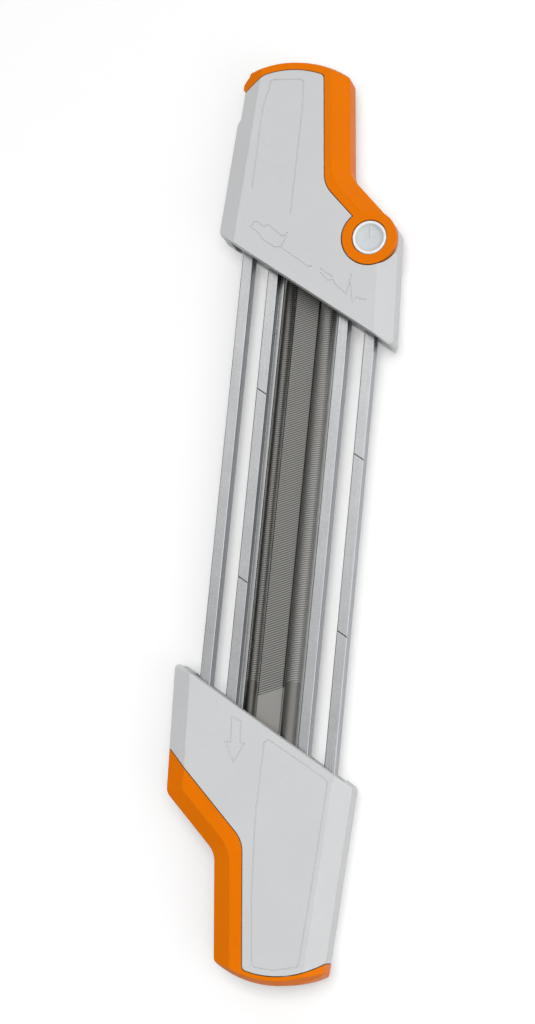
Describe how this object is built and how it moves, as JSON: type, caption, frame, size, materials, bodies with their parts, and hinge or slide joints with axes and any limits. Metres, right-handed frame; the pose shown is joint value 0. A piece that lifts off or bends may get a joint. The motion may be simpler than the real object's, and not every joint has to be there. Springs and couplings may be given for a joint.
{
  "type": "chainsaw file guide",
  "caption": "Flat hand tool that guides round files and a flat file between steel rails at a fixed angle, with two offset plastic handles and a hinged flap at one end.",
  "frame": {"origin": "centre of the bounding box in X and Y, at its lowest point in Z, with the tool lying on its back", "axes": "+Y along the tool towards the handle with the flap, +Z out of the front face, +X towards the flap pivot"},
  "size_m": [0.0646, 0.3164, 0.022],
  "materials": {
    "grey_plastic": "fine matt grain, light grey",
    "orange_plastic": "satin, bright orange",
    "hub_plastic": "smooth, off-white",
    "inner_plastic": "plain dark moulding",
    "rail_steel": "brushed along the rail, bright",
    "file_steel": "cut with fine slanted teeth, grey",
    "fastener_steel": "plain zinc grey"
  },
  "bodies": {
    "guide": {"upper_front_shell": "grey_plastic", "upper_back_shell": "grey_plastic", "upper_guide_block": "inner_plastic", "upper_screw_near": "fastener_steel", "upper_screw_far": "fastener_steel", "pivot_pin": "fastener_steel", "pivot_cap_front": "hub_plastic", "pivot_cap_back": "hub_plastic", "lower_front_shell": "grey_plastic", "lower_back_shell": "grey_plastic", "lower_grip_band": "orange_plastic", "lower_guide_block": "inner_plastic", "lower_screw_near": "fastener_steel", "lower_screw_far": "fastener_steel", "lower_screw_grip": "fastener_steel", "rail_outer_left": "rail_steel", "rail_inner_left": "rail_steel", "rail_inner_right": "rail_steel", "rail_outer_right": "rail_steel", "flat_file": "file_steel"},
    "flap": {"flap": "orange_plastic"},
    "left_file": {"round_file_left": "file_steel"},
    "right_file": {"round_file_right": "file_steel"}
  },
  "joints": [
    {"name": "flap_hinge", "type": "hinge", "parent": "guide", "child": "flap", "pos_m": [0.0213, 0.0947, 0.011], "axis": [0, 0, -1], "range_deg": [0, 90]},
    {"name": "left_file_turn", "type": "hinge", "parent": "guide", "child": "left_file", "pos_m": [-0.0079, 0, 0.0066], "axis": [0, 1, 0], "continuous": true},
    {"name": "right_file_turn", "type": "hinge", "parent": "guide", "child": "right_file", "pos_m": [0.0079, 0, 0.0154], "axis": [0, 1, 0], "continuous": true}
  ]
}
